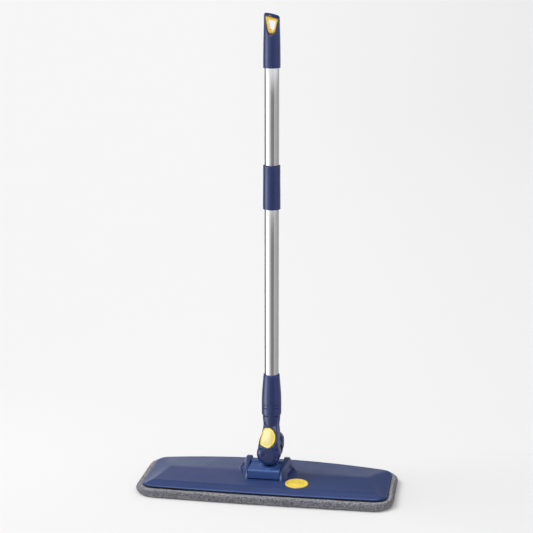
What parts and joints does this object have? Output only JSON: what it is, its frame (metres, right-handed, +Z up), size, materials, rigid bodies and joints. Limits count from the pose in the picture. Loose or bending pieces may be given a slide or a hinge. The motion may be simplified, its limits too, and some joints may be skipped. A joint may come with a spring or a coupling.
{
  "type": "flat floor mop",
  "caption": "Upright flat floor mop: slender steel pole with slotted grip, tilting and swivelling neck joint, wide low head plate with rounded corners over a flat textile pad",
  "frame": {"origin": "on the floor, on the axis of the upright pole", "axes": "+Z up along the pole, +X along the long head to the right, -Y towards the front edge of the head that carries the yellow disc"},
  "size_m": [0.4056, 0.1738, 0.7359],
  "materials": {
    "navy": "satin moulded ABS, navy",
    "blue": "satin moulded nylon, navy",
    "plate": "satin moulded polypropylene, navy",
    "dark": "fine matt moulding",
    "navy_pin": "painted steel pin",
    "yellow": "glossy moulding, yellow",
    "steel": "polished stainless steel",
    "zinc": "zinc plated",
    "rubber": "matt rubber",
    "hook": "hook tape",
    "loop": "knitted loop backing",
    "foam": "open foam core",
    "felt": "mottled grey needle felt"
  },
  "bodies": {
    "head": {"top_plate": "plate", "toe_bumper": "rubber", "badge_disc": "yellow", "badge_clip": "zinc", "under_plate": "dark", "plate_screws": "zinc", "hook_strips": "hook", "pad_backing": "loop", "pad_core": "foam", "pad_cover": "felt", "pad_binding": "felt", "tilt_axle": "zinc", "axle_caps": "plate"},
    "knuckle": {"knuckle": "blue", "swivel_washers": "zinc"},
    "pole": {"neck_body": "navy", "swivel_pin": "navy_pin", "locking_screw": "dark", "lock_ring": "navy", "socket_sleeve": "navy", "retaining_screw": "zinc", "lower_tube": "steel", "joint_collar": "navy", "joint_stud": "zinc", "joint_socket": "zinc", "upper_tube": "steel", "grip_plug": "dark", "grip_body": "navy", "hang_liner": "yellow", "lever_pin": "zinc", "button_spring": "zinc"},
    "button": {"lock_button": "yellow"},
    "lever": {"latch_lever": "zinc"}
  },
  "joints": [
    {"name": "head_tilt", "type": "hinge", "parent": "head", "child": "knuckle", "pos_m": [0, 0.004, 0.03], "axis": [1, 0, 0], "range_deg": [-45, 1.5]},
    {"name": "pole_swivel", "type": "hinge", "parent": "knuckle", "child": "pole", "pos_m": [-0.0018, 0.002, 0.0585], "axis": [0, 1, 0], "range_deg": [-62, 62]},
    {"name": "button_press", "type": "slide", "parent": "pole", "child": "button", "axis": [0, 0.9272, -0.3746], "range_m": [0, 0.003], "stiffness_N_per_m": 600, "deforming": ["button_spring"]},
    {"name": "lever_turn", "type": "hinge", "parent": "pole", "child": "lever", "pos_m": [0, 0, 0.104], "axis": [1, 0, 0], "range_deg": [0, 8]}
  ],
  "couplings": [
    {"joint": "lever_turn", "follows": "button_press", "rad_per_m": 46.5}
  ]
}
